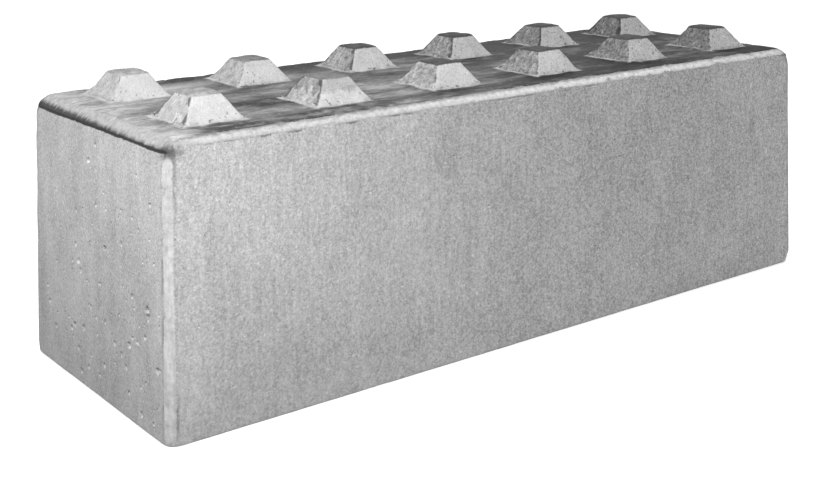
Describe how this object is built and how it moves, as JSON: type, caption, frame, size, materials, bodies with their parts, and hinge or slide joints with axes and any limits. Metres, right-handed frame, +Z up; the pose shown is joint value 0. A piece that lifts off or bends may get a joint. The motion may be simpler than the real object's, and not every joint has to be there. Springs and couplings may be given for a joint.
{
  "type": "interlocking concrete block",
  "caption": "Large precast concrete barrier block with truncated pyramid studs on its deck and matching sockets underneath, cast round a light steel cage and lifting anchors.",
  "frame": {"origin": "centre of the underside", "axes": "+Z up, +X along the length"},
  "size_m": [1.8, 0.6, 0.6],
  "materials": {
    "concrete": "matte cast concrete",
    "ribbed_bar_steel": "mill scale with light rust",
    "forged_anchor_steel": "dark forged steel",
    "fibre_cement": "matte",
    "spacer_plastic": "matte"
  },
  "bodies": {
    "root": {"block_casting": "concrete", "long_bar_front_bottom": "ribbed_bar_steel", "long_bar_front_middle": "ribbed_bar_steel", "long_bar_front_top": "ribbed_bar_steel", "long_bar_rear_bottom": "ribbed_bar_steel", "long_bar_rear_middle": "ribbed_bar_steel", "long_bar_rear_top": "ribbed_bar_steel", "cage_link_1": "ribbed_bar_steel", "cage_link_2": "ribbed_bar_steel", "cage_link_3": "ribbed_bar_steel", "cage_link_4": "ribbed_bar_steel", "cage_link_5": "ribbed_bar_steel", "cage_link_6": "ribbed_bar_steel", "cage_link_7": "ribbed_bar_steel", "lifting_anchor_left": "forged_anchor_steel", "lifting_anchor_right": "forged_anchor_steel", "bar_chair_front_1": "fibre_cement", "bar_chair_rear_1": "fibre_cement", "bar_chair_front_2": "fibre_cement", "bar_chair_rear_2": "fibre_cement", "bar_chair_front_3": "fibre_cement", "bar_chair_rear_3": "fibre_cement", "wheel_spacer_front_left_low": "spacer_plastic", "wheel_spacer_front_left_high": "spacer_plastic", "wheel_spacer_rear_left_low": "spacer_plastic", "wheel_spacer_rear_left_high": "spacer_plastic", "wheel_spacer_front_right_low": "spacer_plastic", "wheel_spacer_front_right_high": "spacer_plastic", "wheel_spacer_rear_right_low": "spacer_plastic", "wheel_spacer_rear_right_high": "spacer_plastic"}
  },
  "joints": []
}
